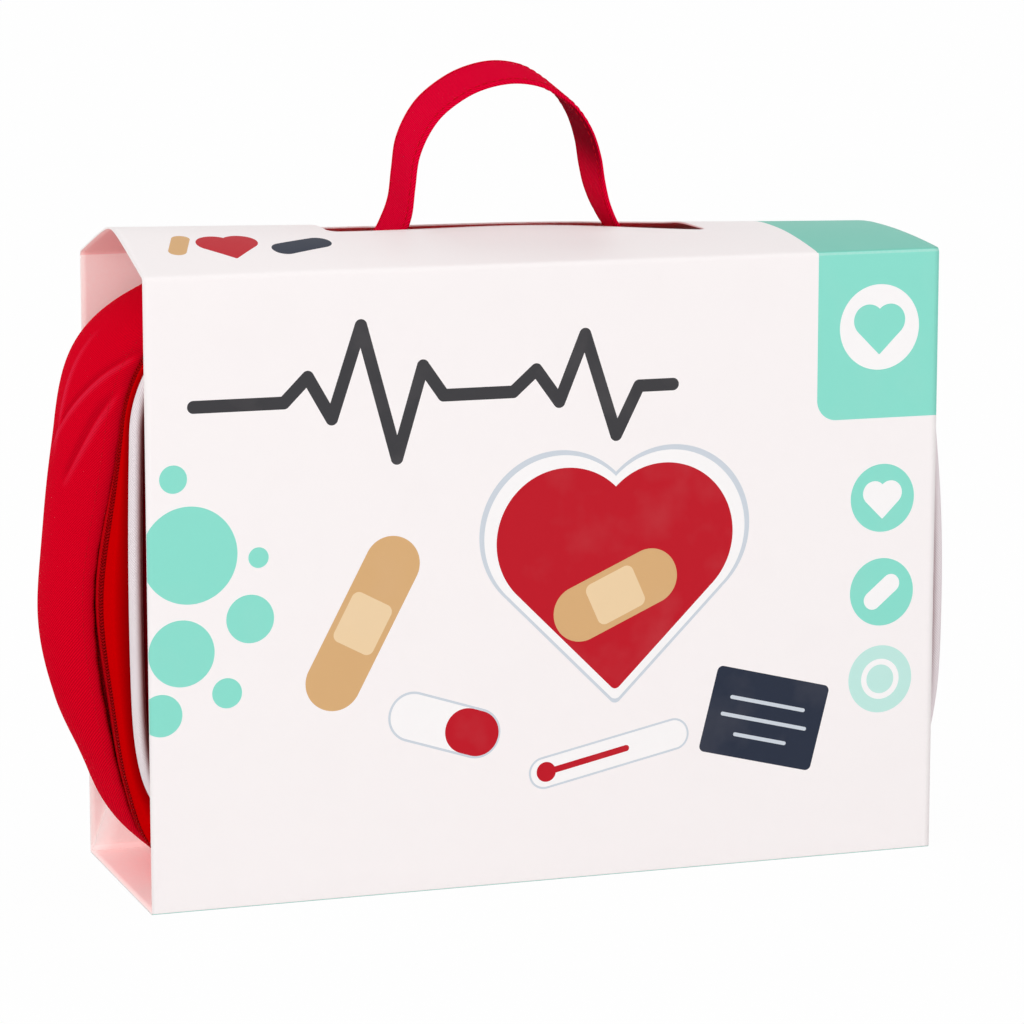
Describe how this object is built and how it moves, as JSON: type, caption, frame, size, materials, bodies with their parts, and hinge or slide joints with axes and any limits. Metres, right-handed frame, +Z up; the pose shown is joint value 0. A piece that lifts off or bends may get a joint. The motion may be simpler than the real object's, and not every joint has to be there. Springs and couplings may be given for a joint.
{
  "type": "toy doctor case",
  "caption": "Soft red zip case of wooden toy doctor's instruments, in an open-ended printed board sleeve with a webbing carry handle through a slot in its top.",
  "frame": {"origin": "middle of the sleeve's bottom face", "axes": "+Z up, front towards -Y, +X to the right when facing the front"},
  "size_m": [0.316, 0.087, 0.2722],
  "materials": {
    "sleeve_board": "printed satin board",
    "red_fabric": "woven polyester",
    "red_strip": "smooth coated cloth",
    "white_piping": "corded piping",
    "white_patch": "printed patch",
    "zip_tape": "twill tape",
    "zip_coil": "nylon coil",
    "red_webbing": "folded webbing",
    "stiff_board": "grey board",
    "lining": "plain lining",
    "zip_metal": "enamelled",
    "pull_ribbon": "woven ribbon",
    "plain_wood": "satin lacquer",
    "red_wood": "gloss paint",
    "white_wood": "gloss paint",
    "white_plastic": "moulded",
    "red_plastic": "moulded",
    "card_print": "printed card",
    "paper": "printed card",
    "white_cloth": "plain weave"
  },
  "bodies": {
    "case": {"front_panel": "red_fabric", "front_board": "stiff_board", "lid_lining": "lining", "lid_strip": "red_strip", "lid_piping": "white_piping", "emblem_disc": "white_patch", "emblem_heart": "red_fabric", "zip_tape_lid": "zip_tape", "zip_tape_tray": "zip_tape", "zip_coil_lid": "zip_coil", "zip_coil_tray": "zip_coil", "hinge_strip": "red_fabric", "zip_end_tabs": "red_fabric", "tray_gusset": "red_fabric", "back_panel": "red_fabric", "tray_lining": "lining", "back_board": "stiff_board", "handle_feet": "red_webbing", "handle_patch": "lining", "bottle": "plain_wood", "bottle_cap": "red_wood", "ointment_cap": "red_wood", "ointment_tube": "plain_wood", "syringe_barrel": "red_wood", "thermometer": "white_wood", "thermometer_strips": "red_plastic", "tweezers": "plain_wood", "pill_card": "plain_wood", "pills": "white_wood", "chest_piece": "red_wood", "stethoscope_tube": "white_plastic", "headset": "white_plastic", "ear_tips": "red_plastic", "xray_card_left": "card_print", "xray_card_right": "card_print", "eye_chart": "paper", "folded_cloth": "white_cloth"},
    "sleeve": {"sleeve": "sleeve_board"},
    "handle": {"handle_loop": "red_webbing"},
    "slider": {"zip_slider": "zip_metal"},
    "pull": {"pull_link": "zip_metal", "pull_ribbon": "pull_ribbon"},
    "plunger": {"syringe_plunger": "white_wood"}
  },
  "joints": [
    {"name": "sleeve_slide", "type": "slide", "parent": "case", "child": "sleeve", "axis": [-1, 0, 0], "range_m": [0, 0.33], "deforming": ["handle_loop"]},
    {"name": "handle_lean", "type": "hinge", "parent": "case", "child": "handle", "pos_m": [0, 0.006, 0.2178], "axis": [1, 0, 0], "range_deg": [-55, 35], "stiffness_Nm_per_rad": 0.05},
    {"name": "zip_travel", "type": "hinge", "parent": "case", "child": "slider", "pos_m": [-0.1235, -0.0173, 0.1019], "axis": [0, -1, 0], "range_deg": [0, 19]},
    {"name": "pull_swing", "type": "hinge", "parent": "slider", "child": "pull", "pos_m": [0.14593, -0.0173, 0.04757], "axis": [0, -1, 0], "range_deg": [-8, 110]},
    {"name": "plunger_slide", "type": "slide", "parent": "case", "child": "plunger", "axis": [0, 0, 1], "range_m": [0, 0.03]}
  ]
}
